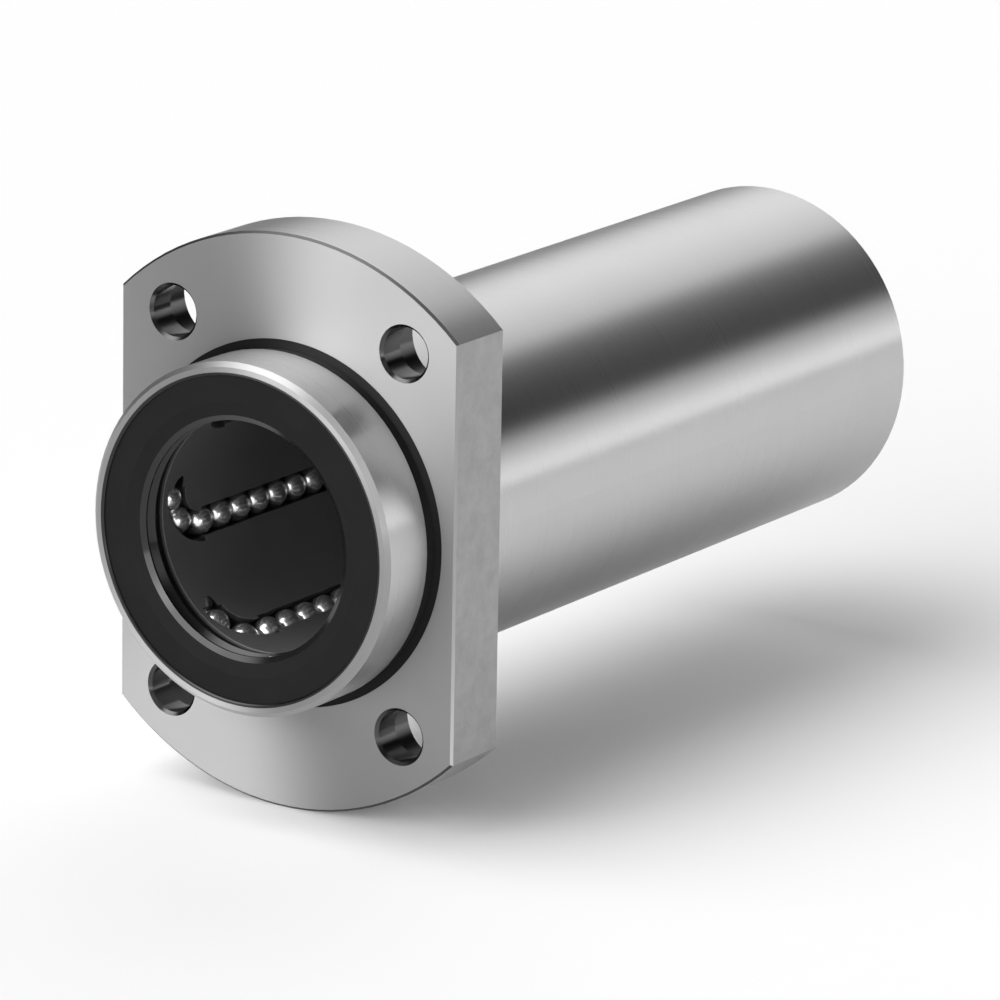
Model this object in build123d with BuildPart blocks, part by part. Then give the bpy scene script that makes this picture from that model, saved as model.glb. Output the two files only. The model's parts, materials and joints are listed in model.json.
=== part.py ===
from build123d import *
import os
from math import acos, cos, degrees, radians, sin, sqrt

os.makedirs("parts", exist_ok=True)

# Flanged double-length linear bushing for a 30 mm shaft, in millimetres.
# The shaft axis is Y. The origin is on that axis, in the front seating face of the flange.
# The short pilot end points to -Y and the long body to +Y. X is across the flats, Z is up.

# Shaft and balls
shaft_d = 30.0
ball_d = 3.969
ball_gap = 0.081          # free length per ball along a row
circuits = 6              # closed ball circuits in each retainer
turn_balls = 4            # balls in one half-turn between a load row and its return row
turn_entry_rise = 0.65    # how far balls are lifted off the shaft where a turn begins
return_lift = 1.331       # height of the return row above the load row
first_row_angle = 11.0    # the first load row, counted from +X
train_phase = 0.27        # share of a pitch by which the load rows stand towards the front

# Outer cylinder and flange
ring_wall = 2.1           # steel outside the relieved bore
pilot_len = 10.0
body_len = 103.0
flange_t = 10.0
flange_reach = 14.5       # flange rim beyond the cylinder
flat_reach = 3.0          # flats beyond the cylinder
hole_inset_x = 5.0        # bolt holes inside the cylinder's radius, across the flats
hole_offset_z = 2.0       # bolt holes beyond the cylinder's radius, along the flats
bolt_hole_d = 6.6
bolt_head_d = 11.0
bolt_head_depth = 6.1
hole_chamfer = 0.4
head_chamfer = 0.2
rim_chamfer = 0.3
front_end_chamfer = 0.6
rear_end_chamfer = 0.75
mouth_chamfer = 0.15
undercut_w = 1.7
undercut_depth = 0.3
face_relief_w = 1.0
face_relief_depth = 0.15
land_w = 5.4              # width of the steel land that each load row runs on
middle_rib_min = 5.0      # least steel between the two retainer pockets

# Retainers
bore_gap = 0.4            # retainer bore outside the shaft
slot_w = 3.7
slot_turn_angle = 97.0    # how far round the turn the slot stays open to the bore
end_wall = 1.0
end_edge = 0.3

# End seals and stop rings
seal_recess = 0.3
seal_t = 3.2
seat_step = 0.4           # seal seat beyond the relieved bore
dish_r = 17.5             # where the seal's face starts to fall towards the shaft
dish_edge_rise = 0.7      # edge of the dish outside the shaft
dish_depth = 0.45
lip_w = 0.25
lip_setback = 0.4
lip_groove = 1.0
back_lip_setback = 0.225  # second lip in front of the seal's inner face
back_edge_rise = 0.45     # inner edge of that face outside the shaft
ring_t = 1.2
ring_depth = 0.6          # stop ring groove beyond the seal seat
ring_overlap = 1.5        # stop ring in front of the retainer's end
ring_gap_w = 6.0          # opening in each stop ring

# Clearances
raceway_clearance = 0.05
relief_clearance = 0.1
track_clearance = 0.115
cage_clearance = 0.1
seal_clearance = 0.03
ring_side_play = 0.05
same_radius = 0.01        # edges whose radii differ by less are taken as one kind

# Sizes that follow
shaft_r = shaft_d / 2
ball_r = ball_d / 2
ball_pitch = ball_d + ball_gap
turn_step = 180 / turn_balls
turn_r = ball_pitch / 2 / sin(radians(turn_step / 2))
track_r = ball_r + track_clearance
load_r = shaft_r + ball_r
return_r = load_r + return_lift
turn_entry_r = load_r + turn_entry_rise
land_r = load_r + ball_r + raceway_clearance
relief_r = return_r + ball_r + relief_clearance
outer_r = relief_r + ring_wall
flange_r = outer_r + flange_reach
flange_flats = 2 * (outer_r + flat_reach)
hole_pitch_x = 2 * (outer_r - hole_inset_x)
hole_pitch_z = 2 * (outer_r + hole_offset_z)
seat_r = relief_r + seat_step
groove_r = seat_r + ring_depth
cage_bore_r = shaft_r + bore_gap
cage_r = relief_r - cage_clearance
total_len = pilot_len + flange_t + body_len

# Depths behind the front end, and what is left for the balls
seal_end = seal_recess + seal_t
pocket_start = seal_end + ring_t + 2 * ring_side_play
cage_start = pocket_start + cage_clearance
turn_len = end_wall + track_r + turn_r
cage_room = (total_len - middle_rib_min) / 2 - cage_start - cage_clearance
load_balls = int((cage_room - 2 * turn_len) / ball_pitch)
straight_len = load_balls * ball_pitch
cage_len = straight_len + 2 * turn_len
pocket_len = cage_len + 2 * cage_clearance
land_setback = sqrt(ball_r**2 - (land_r - turn_entry_r) ** 2) + raceway_clearance
land_box = 4 * (relief_r - land_r)    # radial height of the boxes that outline the lands

# The angle between a load row and its return row, from the triangle of the axis and both rows
row_chord = 2 * turn_r
row_angle = degrees(acos(
    (turn_entry_r**2 + return_r**2 - row_chord**2) / (2 * turn_entry_r * return_r)))
return_x = return_r * cos(radians(row_angle))
return_y = -return_r * sin(radians(row_angle))


def depth(a):
    """Cross-section plane at depth a behind the front end, facing the front."""
    return Plane.XZ.offset(pilot_len - a)


def circles_of(builder, radius):
    """Circular edges of that radius, the front ones first."""
    return builder.edges().filter_by(GeomType.CIRCLE).filter_by(
        lambda e: abs(e.radius - radius) < same_radius).sort_by(Axis.Y)


def ring_section(r_in, r_out, a_start, a_end):
    """Rectangle in the XY plane that revolves about Y into a ring."""
    with Locations((r_in, a_start - pilot_len)):
        Rectangle(r_out - r_in, a_end - a_start, align=(Align.MIN, Align.MIN))


# One circuit in its own frame: the shaft axis is Z and points to the front, the load row is
# on +X, and Z = 0 is where the front turn begins. Each turn lies in one sloping plane.
entry_point = Vector(turn_entry_r, 0, 0)
return_point = Vector(return_x, return_y, 0)
across = (entry_point - return_point).normalized()
turn_centre = (entry_point + return_point) * 0.5
turn_normal = across.cross(Vector(0, 0, 1))


def turn_plane(z, front):
    """Plane of a turn: its X points to the load row and its Y away from the retainer's middle."""
    way = 1 if front else -1
    return Plane(origin=turn_centre + Vector(0, 0, z), x_dir=across, z_dir=turn_normal * way)


def turn_point(z, front, angle):
    """Centre of a ball in a turn, counted from the load row."""
    way = 1 if front else -1
    out = Vector(0, 0, way * turn_r * sin(radians(angle)))
    return turn_centre + Vector(0, 0, z) + across * (turn_r * cos(radians(angle))) + out


def arc_band(half_width, angle):
    """Part of a ring along the ball path, from the load row round to the angle."""
    with BuildLine() as outline:
        CenterArc((0, 0), turn_r + half_width, 0, angle)
        CenterArc((0, 0), turn_r - half_width, 0, angle)
        Line((turn_r - half_width, 0), (turn_r + half_width, 0))
        tip = Vector(cos(radians(angle)), sin(radians(angle)))
        Line(tip * (turn_r - half_width), tip * (turn_r + half_width))
    make_face(outline.edges())


reach = relief_r          # long enough to cut right through a retainer's wall
lead = ball_r + track_clearance

with BuildPart() as circuit_track:
    middle = -straight_len / 2
    # the load row: a tube with a ball's clearance, open outwards, and a narrower slot inwards
    with Locations((load_r, 0, middle)):
        Cylinder(track_r, straight_len + 2 * lead)
        Box(reach, 2 * track_r, straight_len + 2 * lead, align=(Align.MIN, Align.CENTER, Align.CENTER))
    with Locations((shaft_r, 0, middle)):
        Box(load_r - shaft_r, slot_w, straight_len, align=(Align.MIN, Align.CENTER, Align.CENTER))
    # the return row, open outwards only
    with Locations(Location((return_x, return_y, middle), (0, 0, -row_angle))):
        Cylinder(track_r, straight_len)
        Box(reach, 2 * track_r, straight_len, align=(Align.MIN, Align.CENTER, Align.CENTER))
    for z, front in ((0, True), (-straight_len, False)):
        place = turn_plane(z, front)
        outwards = 1 if front else -1
        # the straight entry of the turn, at its own height
        entry_middle = entry_point + Vector(0, 0, z - outwards * lead / 2)
        with Locations(entry_middle):
            Cylinder(track_r, lead)
        # the round tube of the turn, then the same path opened outwards
        tube_circle = Plane(origin=place.origin + place.x_dir * turn_r, x_dir=across, z_dir=place.y_dir)
        with BuildSketch(tube_circle):
            Circle(track_r)
        revolve(axis=Axis(place.origin, place.z_dir), revolution_arc=180)
        with BuildSketch(place):
            arc_band(track_r, 180)
        extrude(amount=outwards * reach)
        # the slot stays open to the bore round the first part of the turn
        with BuildSketch(place):
            arc_band(slot_w / 2, slot_turn_angle)
        extrude(amount=-outwards * turn_r)


# Outer cylinder: flange, pilot and body turned from one piece of bearing steel
with BuildPart() as outer_cylinder:
    with BuildSketch(depth(pilot_len)):
        Circle(flange_r)
        Rectangle(flange_flats, 2 * flange_r, mode=Mode.INTERSECT)
    extrude(amount=-flange_t)
    rims = outer_cylinder.edges().group_by(Axis.Y)
    chamfer(rims[0] + rims[-1], rim_chamfer)
    rear_face = Plane(origin=(0, flange_t, 0), x_dir=(1, 0, 0), z_dir=(0, 1, 0))
    with Locations(rear_face):
        with GridLocations(hole_pitch_x, hole_pitch_z, 2, 2):
            CounterBoreHole(bolt_hole_d / 2, bolt_head_d / 2, bolt_head_depth, flange_t)
    chamfer(circles_of(outer_cylinder, bolt_hole_d / 2).group_by(Axis.Y)[0], hole_chamfer)
    chamfer(circles_of(outer_cylinder, bolt_head_d / 2).group_by(Axis.Y)[-1], head_chamfer)
    with BuildSketch(depth(0)):
        Circle(outer_r)
    extrude(amount=-total_len)
    ends = outer_cylinder.edges().filter_by(GeomType.CIRCLE).sort_by(Axis.Y)
    chamfer(ends[0], front_end_chamfer)
    chamfer(ends[-1], rear_end_chamfer)
    # run-out grooves at both roots of the flange, with a shallow relief in its faces
    with BuildSketch(Plane.XY):
        r_groove = outer_r - undercut_depth
        r_relief = outer_r + face_relief_w
        flange_end = pilot_len + flange_t
        ring_section(r_groove, r_relief, pilot_len - undercut_w, pilot_len + face_relief_depth)
        ring_section(r_groove, r_relief, flange_end - face_relief_depth, flange_end + undercut_w)
    revolve(axis=Axis.Y, mode=Mode.SUBTRACT)
    # through bore at the height of the lands, then seal seats and stop ring grooves
    with BuildSketch(Plane.XY):
        ring_section(0, land_r, 0, total_len)
        ring_section(0, seat_r, 0, seal_end)
        ring_section(0, seat_r, total_len - seal_end, total_len)
        ring_section(0, groove_r, seal_end, pocket_start)
        ring_section(0, groove_r, total_len - pocket_start, total_len - seal_end)
    revolve(axis=Axis.Y, mode=Mode.SUBTRACT)
    mouths = circles_of(outer_cylinder, seat_r)
    chamfer(ShapeList([mouths[0], mouths[-1]]), mouth_chamfer)
    # two retainer pockets, relieved everywhere but on the lands under the load rows
    for pocket in (pocket_start, total_len - pocket_start - pocket_len):
        land_start = pocket + cage_clearance + turn_len + land_setback
        land_len = straight_len - 2 * land_setback
        pocket_end = pocket + pocket_len
        with BuildSketch(Plane.XY):
            ring_section(0, relief_r, pocket, land_start)
            ring_section(0, relief_r, land_start + land_len, pocket_end)
        revolve(axis=Axis.Y, mode=Mode.SUBTRACT)
        with BuildSketch(depth(land_start)):
            Circle(relief_r)
            with PolarLocations(relief_r, circuits, first_row_angle):
                Rectangle(land_box, land_w, mode=Mode.SUBTRACT)
            Circle(land_r)
        extrude(amount=-land_len, mode=Mode.SUBTRACT)
outer_cylinder.part.label = "outer_cylinder"
export_step(outer_cylinder.part, "parts/outer_cylinder.step")


def make_retainer(name, start):
    """Moulded ball retainer: a grooved tube with a track for each circuit."""
    with BuildPart() as retainer:
        with BuildSketch(depth(start)):
            Circle(cage_r)
            with PolarLocations(cage_r, circuits, first_row_angle):
                Rectangle(land_box, land_w + 2 * cage_clearance, mode=Mode.SUBTRACT)
            Circle(land_r - cage_clearance)
            Circle(cage_bore_r, mode=Mode.SUBTRACT)
        extrude(amount=-cage_len)
        chamfer(circles_of(retainer, cage_bore_r), end_edge)
        with Locations(depth(start + turn_len)):
            with PolarLocations(0, circuits, first_row_angle):
                add(circuit_track.part, mode=Mode.SUBTRACT)
    retainer.part.label = name
    export_step(retainer.part, f"parts/{name}.step")


def make_seal(name, end, way):
    """End seal: a flat ring with a dished face and two wiping lips, lying way along Y from end."""
    def at(r, a):
        return (r, end + way * a)
    seal_r = seat_r - seal_clearance
    first_lip = seal_recess + dish_depth + lip_setback
    second_lip = seal_end - lip_w - back_lip_setback
    groove = (first_lip + lip_w + second_lip) / 2
    with BuildPart() as seal:
        with BuildSketch(Plane.XY):
            with BuildLine():
                Polyline(
                    at(seal_r, seal_recess), at(dish_r, seal_recess),
                    at(shaft_r + dish_edge_rise, seal_recess + dish_depth),
                    at(shaft_r, first_lip), at(shaft_r, first_lip + lip_w),
                    at(shaft_r + lip_groove, groove),
                    at(shaft_r, second_lip), at(shaft_r, second_lip + lip_w),
                    at(shaft_r + back_edge_rise, seal_end), at(seal_r, seal_end), close=True)
            make_face()
        revolve(axis=Axis.Y)
    seal.part.label = name
    export_step(seal.part, f"parts/{name}.step")


def make_stop_ring(name, start):
    """Open spring ring in its groove, in front of a retainer's end."""
    with BuildPart() as ring:
        with BuildSketch(depth(start)):
            Circle(groove_r - cage_clearance)
            Circle(cage_r - ring_overlap, mode=Mode.SUBTRACT)
            with Locations((0, -relief_r)):
                Rectangle(ring_gap_w, relief_r, mode=Mode.SUBTRACT)
        extrude(amount=-ring_t)
    ring.part.label = name
    export_step(ring.part, f"parts/{name}.step")


def make_balls(name, place, points):
    """One group of balls that move together."""
    with BuildPart() as balls:
        with Locations(place):
            with Locations(*points):
                Sphere(ball_r)
    balls.part.label = name
    export_step(balls.part, f"parts/{name}.step")


def make_circuits(end, start):
    """The ball groups of one retainer: load row, return row and two turns in each circuit."""
    shift = train_phase * ball_pitch
    turned = train_phase * turn_step
    row = [(k + 0.5) * ball_pitch for k in range(load_balls)]
    steps = [(k + 0.5) * turn_step for k in range(turn_balls)]
    groups = {
        "load_row": [Vector(load_r, 0, shift - z) for z in row],
        "return_row": [return_point - Vector(0, 0, z + shift) for z in row],
        "front_turn": [turn_point(0, True, t + turned) for t in steps],
        "rear_turn": [turn_point(-straight_len, False, t - turned) for t in steps],
    }
    for i in range(circuits):
        angle = first_row_angle + i * 360 / circuits
        place = depth(start + turn_len).location * Location((0, 0, 0), (0, 0, angle))
        for kind, points in groups.items():
            make_balls(f"{end}_{kind}_{i + 1}", place, points)


rear_start = total_len - cage_start - cage_len
make_retainer("front_retainer", cage_start)
make_retainer("rear_retainer", rear_start)
make_seal("front_seal", -pilot_len, 1)
make_seal("rear_seal", total_len - pilot_len, -1)
make_stop_ring("front_stop_ring", seal_end + ring_side_play)
make_stop_ring("rear_stop_ring", total_len - seal_end - ring_side_play - ring_t)
make_circuits("front", cage_start)
make_circuits("rear", rear_start)
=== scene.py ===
import bpy
from math import cos, pi, radians, sin
from mathutils import Euler, Matrix, Vector
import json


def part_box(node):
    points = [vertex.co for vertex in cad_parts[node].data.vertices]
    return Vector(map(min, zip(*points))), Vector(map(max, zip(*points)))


# Flanged linear bushing of double length: finishes of its pieces, a pale floor and soft light.
# Metres, in the frame of the part: the shaft axis is Y, the front end points to -Y, Z is up.

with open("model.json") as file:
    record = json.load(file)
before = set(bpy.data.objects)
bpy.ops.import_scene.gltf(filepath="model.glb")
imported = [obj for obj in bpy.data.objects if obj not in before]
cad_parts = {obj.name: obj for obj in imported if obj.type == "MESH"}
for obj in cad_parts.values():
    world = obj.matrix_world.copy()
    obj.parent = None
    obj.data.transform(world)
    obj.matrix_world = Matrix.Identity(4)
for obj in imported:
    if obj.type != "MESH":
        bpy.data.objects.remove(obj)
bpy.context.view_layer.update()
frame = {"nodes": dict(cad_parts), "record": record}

# Sizes of the part that its finishes follow
ring_low, ring_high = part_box("outer_cylinder")
flat_x = ring_high[0]
flange_r = ring_high[2]
cage_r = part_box("front_retainer")[1][2]
flange_t = 0.010
undercut_w = 0.0017
face_relief_depth = 0.00015
face_relief_w = 0.0010
cylinder_r = 0.0225
end_hole_r = 0.0212
hole_x = 0.0175
hole_z = 0.0245
hole_reach = 0.0058
cage_bore_r = 0.0154
lip_reach_r = 0.0165

# How far the limits between finishes stand off those sizes
rim_depth = 0.0007
end_edge_depth = 0.0010
flat_depth = 0.0002
flat_edge_depth = 0.0005
groove_depth = 0.0004
relief_over = 0.00002
cage_skin = 0.0001

# Limits on the parts of the normal that tell a face, a slope and a flat side from each other
face_from = 0.9
slope_from = 0.25
side_from = 0.9
side_edge_from = 0.6
lip_face_from = 0.95

# Bearing steel: grey and roughness of the ground skin, and of the surfaces that differ from it. The
# dark greys of the bolt holes, the bore, the run-out grooves and the rim's chamfer are painted shade
ground_grey = 0.53
ground_rough = 0.28
steel_greys = {"rim": 0.47, "face": 0.36, "edge": 0.36, "rim_edge_painted_shade": 0.09, "flat_side": 0.37,
               "flat_edge": 0.40, "hole_painted_shade": 0.08, "bore_painted_shade": 0.05, "run_out_painted_shade": 0.03}
steel_roughs = {"face": 0.48, "edge": 0.42, "flat_side": 0.42, "hole_painted_shade": 0.22, "run_out_painted_shade": 0.55}
line_scale = 3600.0
line_drift = 0.12
broad_spread = 0.03
line_grey_spread = 0.018
line_rough_spread = 0.045
mottle_spread = 0.17

# Moulded plastics: the pockets of the balls are painted dark as shade, and the seal lips carry a film
# of grease
pocket_painted_shade_grey = 0.012
pocket_rough = 0.60
lip_rough = 0.16
lip_film = 0.5

# Camera
view_azimuth = radians(33.63)
view_elevation = radians(15.43)
view_roll = radians(1.0)
view_distance = 0.881
look_at = Vector((0.0259, 0.0091, 0.0054))
focal_px = 7149.0
image_px = 1000.0
sensor_mm = 36.0

# Soft panels of the studio: azimuth, elevation, radius of the even part, radius of its edge, light
panels = (
    (-162.0, 34.0, 8.0, 34.0, 1.25),
    (143.0, 0.0, 8.0, 24.0, 1.3),
    (143.0, -1.0, 3.0, 14.0, 0.75),
    (-8.0, 17.0, 14.0, 28.0, 4.4),
    (18.0, 6.0, 8.0, 24.0, 3.4),
    (-34.0, 25.0, 5.0, 19.0, 3.0),
    (60.0, 0.0, 5.0, 14.0, 4.0),
    (95.0, 46.0, 6.0, 24.0, 0.5),
    (-50.0, 60.0, 8.0, 32.0, 4.2),
)
# A dark screen between the two panels behind the object
screen = (156.0, 30.0, 5.0, 20.0)
screen_share = 0.93
world_base = 0.08
white = (1.0, 1.0, 1.0, 1.0)

# Floor
floor_reach = 6.0
floor_colour = (0.85, 0.85, 0.85, 1.0)
floor_glow = 0.06


class Shader:
    """A node material or world under construction."""

    def __init__(self, tree):
        self.tree = tree
        self.tree.nodes.clear()

    def node(self, kind, inputs=(), **settings):
        made = self.tree.nodes.new(kind)
        for key, value in settings.items():
            setattr(made, key, value)
        for key, value in dict(inputs).items():
            if isinstance(value, bpy.types.NodeSocket):
                self.tree.links.new(value, made.inputs[key])
            else:
                made.inputs[key].default_value = value
        return made

    def math(self, operation, a, b=0.0, c=0.0):
        return self.node("ShaderNodeMath", {0: a, 1: b, 2: c}, operation=operation).outputs[0]

    def vector_math(self, operation, a, b=(0.0, 0.0, 0.0)):
        return self.node("ShaderNodeVectorMath", {0: a, 1: b}, operation=operation).outputs

    def split(self, vector):
        return self.node("ShaderNodeSeparateXYZ", {0: vector}).outputs

    def size(self, value):
        return self.math("ABSOLUTE", value)

    def over(self, value, low):
        """1 where the value is over low."""
        return self.math("GREATER_THAN", value, low)

    def under(self, value, high):
        """1 where the value is under high."""
        return self.math("LESS_THAN", value, high)

    def both(self, a, b):
        """1 where both masks are."""
        return self.math("MULTIPLY", a, b)

    def inside(self, value, low, high):
        """1 where the value lies between low and high."""
        return self.both(self.over(value, low), self.under(value, high))

    def blend(self, share, a, b):
        """a where share is 0, b where it is 1."""
        made = self.node("ShaderNodeMix", {0: share, 2: a, 3: b}, data_type="FLOAT")
        return made.outputs[0]

    def laid_over(self, base, levels, surfaces):
        """The base, with the level of each surface that has one laid over it in turn."""
        for name, mask in surfaces.items():
            if name in levels:
                base = self.blend(mask, base, levels[name])
        return base

    def grey(self, value):
        return self.node("ShaderNodeCombineColor", {0: value, 1: value, 2: value}).outputs[0]

    def noise(self, vector, scale, detail, rough=0.5):
        return self.node("ShaderNodeTexNoise", {"Vector": vector, "Scale": scale, "Detail": detail,
                                                "Roughness": rough}).outputs[0]

    def varied(self, middle, noise, spread):
        """A level that the noise moves by up to half the spread either way."""
        return self.math("MULTIPLY_ADD", self.math("SUBTRACT", noise, 0.5), spread, middle)

    def bump(self, height, strength, distance):
        return self.node("ShaderNodeBump", {"Strength": strength, "Distance": distance,
                                            "Height": height}).outputs[0]


def new_material(name):
    """An empty node material, its shader under construction and the place on the object."""
    made = bpy.data.materials.new(name)
    made.use_nodes = True
    s = Shader(made.node_tree)
    return made, s, s.node("ShaderNodeTexCoord").outputs["Object"]


def finish_material(s, inputs):
    surface = s.node("ShaderNodeBsdfPrincipled", inputs).outputs[0]
    s.node("ShaderNodeOutputMaterial", {"Surface": surface})


def across_axis(s, place):
    """The part of the place that is square to the shaft axis, and its length."""
    xyz = s.split(place)
    across = s.node("ShaderNodeCombineXYZ", {0: xyz[0], 2: xyz[2]}).outputs[0]
    return across, s.vector_math("LENGTH", across)["Value"]


def normal_parts(s):
    return s.split(s.node("ShaderNodeTexCoord").outputs["Normal"])


def steel_surfaces(s, place, radius):
    """Masks of the ring's surfaces. Where two of them meet, the later one counts."""
    xyz = s.split(place)
    normal = normal_parts(s)
    along = s.size(normal[1])
    sideways = s.size(normal[0])
    side = s.size(xyz[0])
    height = s.size(xyz[2])

    face = s.over(along, face_from)
    slope = s.inside(along, slope_from, face_from)
    rim = s.over(radius, flange_r - rim_depth)
    edge = s.both(slope, s.over(radius, cylinder_r - end_edge_depth))
    flat_side = s.both(s.over(side, flat_x - flat_depth), s.over(sideways, side_from))
    flat_slope = s.both(slope, s.over(sideways, side_edge_from))
    flat_edge = s.both(flat_slope, s.over(side, flat_x - flat_edge_depth))

    hole_way = s.node("ShaderNodeCombineXYZ", {0: s.math("SUBTRACT", side, hole_x),
                                               1: s.math("SUBTRACT", height, hole_z)}).outputs[0]
    hole_area = s.under(s.vector_math("LENGTH", hole_way)["Value"], hole_reach)
    # the walls of the bolt holes get a dark grey: painted shade
    hole_painted_shade = s.both(hole_area, s.math("SUBTRACT", 1.0, face))
    # the steel of the bore gets a near-black grey so that the ball pockets look black: painted shade
    bore_painted_shade = s.under(radius, end_hole_r)

    # the run-out grooves beside the flange get a near-black grey: painted shade in the recess
    groove = s.inside(radius, cylinder_r - groove_depth, cylinder_r + face_relief_w)
    relief = face_relief_depth + relief_over
    front_groove = s.inside(xyz[1], -undercut_w, relief)
    rear_groove = s.inside(xyz[1], flange_t - relief, flange_t + undercut_w)
    run_out_painted_shade = s.both(groove, s.math("ADD", front_groove, rear_groove))

    # the chamfer on the flange's rim gets a dark grey: painted shade
    return {"rim": rim, "face": face, "edge": edge, "rim_edge_painted_shade": s.both(edge, rim),
            "flat_side": flat_side, "flat_edge": flat_edge, "hole_painted_shade": hole_painted_shade, "bore_painted_shade": bore_painted_shade,
            "run_out_painted_shade": run_out_painted_shade}


def turned_lines(s, place, across, radius):
    """Fine lines round the axis: they change with radius and length, and drift a little round it."""
    outward = s.split(s.vector_math("NORMALIZE", across)["Vector"])
    line = s.math("ADD", radius, s.split(place)[1])
    lines_at = s.node("ShaderNodeCombineXYZ", {0: s.math("MULTIPLY", line, line_scale),
                                               1: s.math("MULTIPLY", outward[0], line_drift),
                                               2: s.math("MULTIPLY", outward[2], line_drift)})
    return s.noise(lines_at.outputs[0], scale=1.0, detail=3.0, rough=0.6)


def ground_steel():
    made, s, place = new_material("ground_steel")
    across, radius = across_axis(s, place)
    surfaces = steel_surfaces(s, place, radius)
    lines = turned_lines(s, place, across, radius)
    broad = s.noise(place, scale=90.0, detail=2.0)
    mottle = s.noise(place, scale=420.0, detail=5.0, rough=0.7)

    skin = s.varied(s.varied(ground_grey, broad, broad_spread), lines, line_grey_spread)
    mottled = s.varied(steel_greys["flat_side"], mottle, mottle_spread)
    # the surfaces laid over include painted shade in the bolt holes, the bore, the run-out grooves
    # and on the rim's chamfer
    colour = s.laid_over(skin, {**steel_greys, "flat_side": mottled}, surfaces)
    rough = s.varied(ground_rough, lines, line_rough_spread)
    rough = s.laid_over(rough, steel_roughs, surfaces)
    height = s.blend(surfaces["flat_side"], lines, mottle)
    tangent = s.node("ShaderNodeTangent", direction_type="RADIAL", axis="Y").outputs[0]
    finish_material(s, {
        "Base Color": s.grey(colour), "Metallic": 1.0, "Roughness": rough,
        "Normal": s.bump(height, strength=0.011, distance=0.00005),
        "Anisotropic": 0.90, "Anisotropic Rotation": 0.25, "Tangent": tangent})
    return made


def moulded_resin():
    made, s, place = new_material("moulded_resin")
    radius = across_axis(s, place)[1]
    # the resin in the ball pockets gets a near-black grey: painted shade in the slots
    pocket_painted_shade = s.inside(radius, cage_bore_r + cage_skin, cage_r - cage_skin)
    cloud = s.noise(place, scale=220.0, detail=2.0)
    grain = s.noise(place, scale=5000.0, detail=2.0)
    colour = s.blend(pocket_painted_shade, s.varied(0.09, cloud, 0.02), pocket_painted_shade_grey)
    finish_material(s, {
        "Base Color": s.grey(colour), "Specular IOR Level": 0.5,
        "Roughness": s.blend(pocket_painted_shade, s.varied(0.46, cloud, 0.08), pocket_rough),
        "Normal": s.bump(grain, strength=0.05, distance=0.00003)})
    return made


def seal_rubber():
    made, s, place = new_material("seal_rubber")
    radius = across_axis(s, place)[1]
    sloped = s.under(s.size(normal_parts(s)[1]), lip_face_from)
    lip = s.both(sloped, s.under(radius, lip_reach_r))
    cloud = s.noise(place, scale=260.0, detail=2.0)
    grain = s.noise(place, scale=4000.0, detail=3.0)
    finish_material(s, {
        "Base Color": s.grey(s.varied(0.0065, cloud, 0.003)), "Specular IOR Level": 0.12,
        "Roughness": s.blend(lip, s.varied(0.62, grain, 0.08), lip_rough),
        "Normal": s.bump(grain, strength=0.06, distance=0.00003),
        "Coat Weight": s.math("MULTIPLY", lip, lip_film), "Coat Roughness": 0.10, "Coat IOR": 1.65})
    return made


def spring_steel():
    made, s, place = new_material("spring_steel")
    oil = s.noise(place, scale=500.0, detail=3.0)
    finish_material(s, {
        "Base Color": s.grey(s.varied(0.16, oil, 0.08)), "Metallic": 1.0,
        "Roughness": s.varied(0.36, oil, 0.12)})
    return made


def polished_ball():
    made, s, place = new_material("polished_ball")
    film = s.noise(place, scale=700.0, detail=2.0)
    finish_material(s, {
        "Base Color": s.grey(s.varied(0.93, film, 0.06)), "Metallic": 0.96,
        "Roughness": s.varied(0.245, film, 0.05)})
    return made


def dress_nodes():
    finishes = {
        "bearing_steel": ground_steel(),
        "retainer_resin": moulded_resin(),
        "seal_rubber": seal_rubber(),
        "spring_steel": spring_steel(),
        "ball_steel": polished_ball(),
    }
    for part in frame["record"]["subparts"]:
        piece = frame["nodes"][part["node"]]
        for place in piece.material_slots:
            place.material = finishes[part["material_slot"]]


def way_to(azimuth, elevation):
    """Direction with that azimuth, counted from -Y towards +X, and elevation, in radians."""
    level = cos(elevation)
    return Vector((sin(azimuth) * level, -cos(azimuth) * level, sin(elevation)))


def lobe(s, way, azimuth, elevation, inner, outer):
    """1 in the middle of a panel and 0 beyond its edge. Angles are in degrees."""
    middle = way_to(radians(azimuth), radians(elevation))
    cosine = s.vector_math("DOT_PRODUCT", way, middle)["Value"]
    ramp = s.node("ShaderNodeMapRange", {0: cosine, 1: cos(radians(outer)), 2: cos(radians(inner)),
                                         3: 0.0, 4: 1.0}, interpolation_type="SMOOTHSTEP")
    return ramp.outputs[0]


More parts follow.
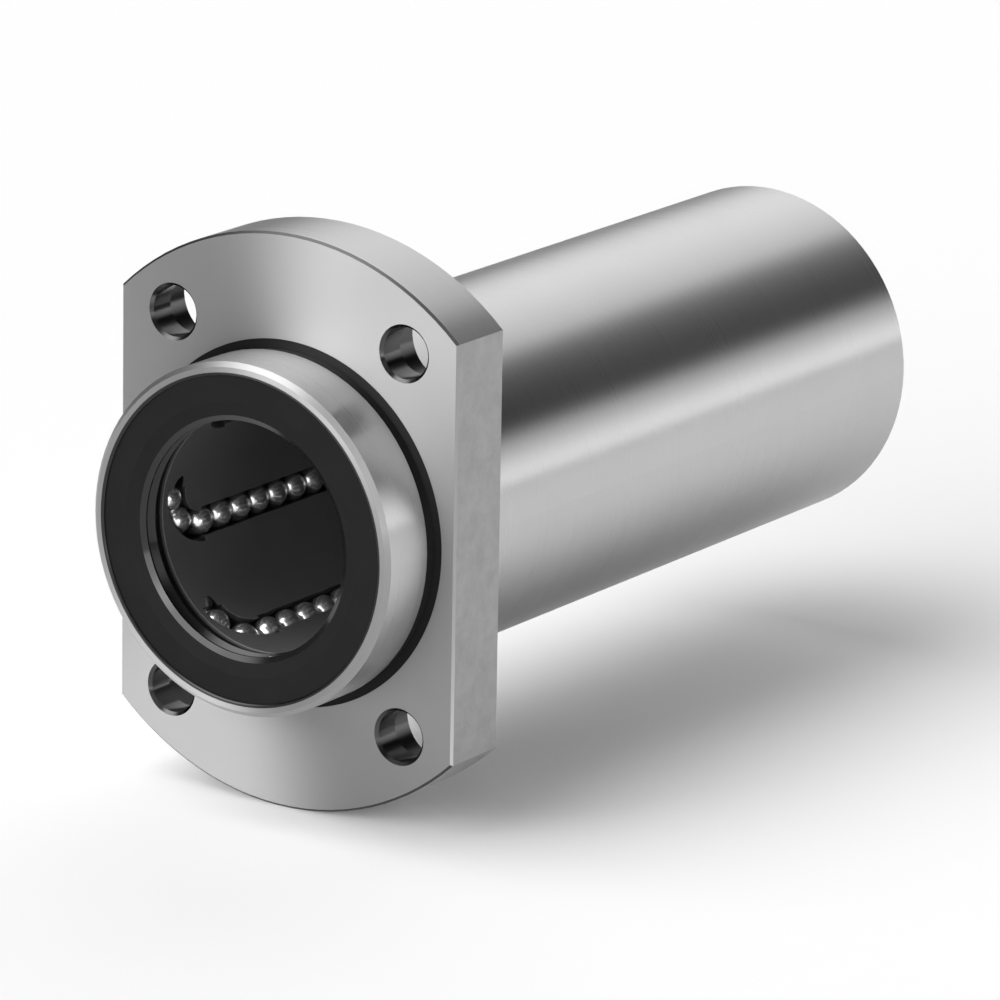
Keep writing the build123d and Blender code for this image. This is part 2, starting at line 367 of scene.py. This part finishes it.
def studio_world():
    world = bpy.data.worlds.new("studio")
    bpy.context.scene.world = world
    world.use_nodes = True
    s = Shader(world.node_tree)
    way = s.node("ShaderNodeTexCoord").outputs["Generated"]
    light = world_base
    for azimuth, elevation, inner, outer, strength in panels:
        panel = lobe(s, way, azimuth, elevation, inner, outer)
        light = s.math("MULTIPLY_ADD", panel, strength, light)
    shade = s.math("SUBTRACT", 1.0, s.math("MULTIPLY", lobe(s, way, *screen), screen_share))
    light = s.math("MULTIPLY", light, shade)
    # past the edge of the floor the camera sees white
    light = s.blend(s.node("ShaderNodeLightPath").outputs["Is Camera Ray"], light, 1.0)
    background = s.node("ShaderNodeBackground", {"Color": white, "Strength": light})
    s.node("ShaderNodeOutputWorld", {"Surface": background.outputs[0]})


def floor_material():
    """Matte, and a little brighter where it is seen, directly or in a reflection."""
    made = bpy.data.materials.new("pale_floor")
    made.use_nodes = True
    s = Shader(made.node_tree)
    rays = s.node("ShaderNodeLightPath").outputs
    seen = s.math("MAXIMUM", rays["Is Camera Ray"], rays["Is Glossy Ray"])
    seen = s.math("MAXIMUM", seen, rays["Is Transmission Ray"])
    matte = s.node("ShaderNodeBsdfDiffuse", {"Color": floor_colour}).outputs[0]
    glow = s.node("ShaderNodeEmission", {"Color": white,
                                         "Strength": s.math("MULTIPLY", seen, floor_glow)}).outputs[0]
    both = s.node("ShaderNodeAddShader", {0: matte, 1: glow}).outputs[0]
    s.node("ShaderNodeOutputMaterial", {"Surface": both})
    return made


def pale_floor():
    """A wide floor that the flange's rim stands on."""
    ends = ((-1, -1), (1, -1), (1, 1), (-1, 1))
    corners = [(x * floor_reach, y * floor_reach, ring_low[2]) for x, y in ends]
    mesh = bpy.data.meshes.new("floor")
    mesh.from_pydata(corners, [], [(0, 1, 2, 3)])
    mesh.materials.append(floor_material())
    floor = bpy.data.objects.new("floor", mesh)
    bpy.context.scene.collection.objects.link(floor)


def add_camera():
    lens = bpy.data.cameras.new("camera")
    lens.sensor_fit = "HORIZONTAL"
    lens.sensor_width = sensor_mm
    lens.lens = sensor_mm * focal_px / image_px
    lens.clip_start = 0.01
    lens.clip_end = 50.0
    camera = bpy.data.objects.new("camera", lens)
    bpy.context.scene.collection.objects.link(camera)
    turn = Euler((pi / 2 - view_elevation, 0.0, view_azimuth)).to_matrix()
    turn = turn @ Matrix.Rotation(view_roll, 3, "Z")
    camera.rotation_euler = turn.to_euler()
    camera.location = look_at + way_to(view_azimuth, view_elevation) * view_distance
    bpy.context.scene.camera = camera


dress_nodes()
studio_world()
pale_floor()
add_camera()
bpy.context.scene.view_settings.view_transform = "Standard"
